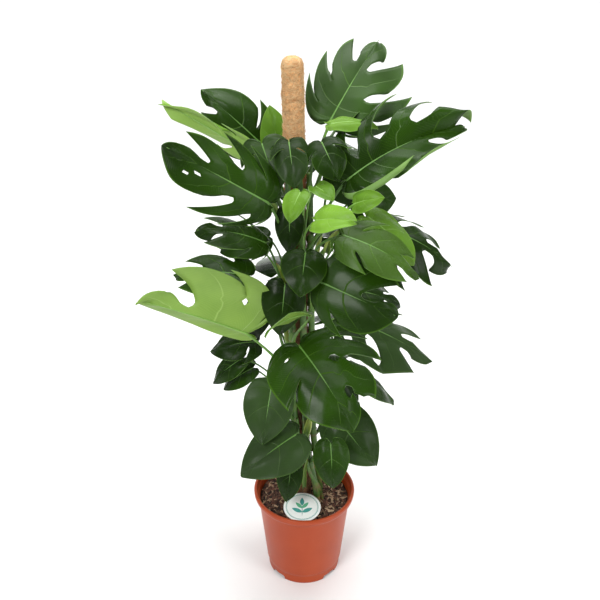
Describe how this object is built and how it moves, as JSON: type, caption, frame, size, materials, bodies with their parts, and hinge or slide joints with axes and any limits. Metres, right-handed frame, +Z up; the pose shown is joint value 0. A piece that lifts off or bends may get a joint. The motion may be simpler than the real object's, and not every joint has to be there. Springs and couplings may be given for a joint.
{
  "type": "potted monstera plant",
  "caption": "Tall split-leaf houseplant trained up a coir pole in a round nursery pot with a blank plant label.",
  "frame": {"origin": "centre of the pot's underside, on the floor", "axes": "+Z up along the pot's axis, -Y to the front where the label lies, +X to the right"},
  "size_m": [0.6402, 0.631, 1.2505],
  "materials": {
    "pot_plastic": "satin",
    "soil": "matte",
    "coir": "matte",
    "stake_wood": "matte",
    "label_card": "satin",
    "stem_skin": "satin",
    "leaf_mature": "satin",
    "leaf_young": "satin"
  },
  "bodies": {
    "root": {"pot": "pot_plastic", "potting_soil": "soil", "coir_sleeve": "coir", "pole_stake": "stake_wood", "plant_label": "label_card", "stem_left": "stem_skin", "stem_right": "stem_skin", "stem_side": "stem_skin", "stem_back": "stem_skin", "leaf_01": "leaf_mature", "leaf_02": "leaf_mature", "leaf_03": "leaf_young", "leaf_04": "leaf_young", "leaf_05": "leaf_young", "leaf_06": "leaf_mature", "leaf_07": "leaf_mature", "leaf_08": "leaf_mature", "leaf_09": "leaf_mature", "leaf_10": "leaf_mature", "leaf_11": "leaf_young", "leaf_12": "leaf_young", "leaf_13": "leaf_young", "leaf_14": "leaf_young", "leaf_15": "leaf_mature", "leaf_16": "leaf_mature", "leaf_17": "leaf_young", "leaf_18": "leaf_mature", "leaf_19": "leaf_mature", "leaf_20": "leaf_mature", "leaf_21": "leaf_mature", "leaf_22": "leaf_mature", "leaf_23": "leaf_mature", "leaf_24": "leaf_mature", "leaf_25": "leaf_mature", "leaf_26": "leaf_mature", "leaf_27": "leaf_young", "leaf_28": "leaf_mature", "leaf_29": "leaf_mature", "leaf_30": "leaf_mature", "leaf_31": "leaf_mature", "leaf_32": "leaf_mature", "leaf_33": "leaf_young", "leaf_34": "leaf_mature", "leaf_35": "leaf_young", "leaf_36": "leaf_mature", "leaf_37": "leaf_mature", "leaf_38": "leaf_mature", "leaf_39": "leaf_mature", "leaf_40": "leaf_mature", "leaf_41": "leaf_mature", "leaf_42": "leaf_mature", "leaf_43": "leaf_mature", "leaf_44": "leaf_mature", "leaf_45": "leaf_mature", "leaf_46": "leaf_mature", "leaf_47": "leaf_mature", "leaf_48": "leaf_mature", "leaf_49": "leaf_mature", "leaf_50": "leaf_mature"}
  },
  "joints": []
}
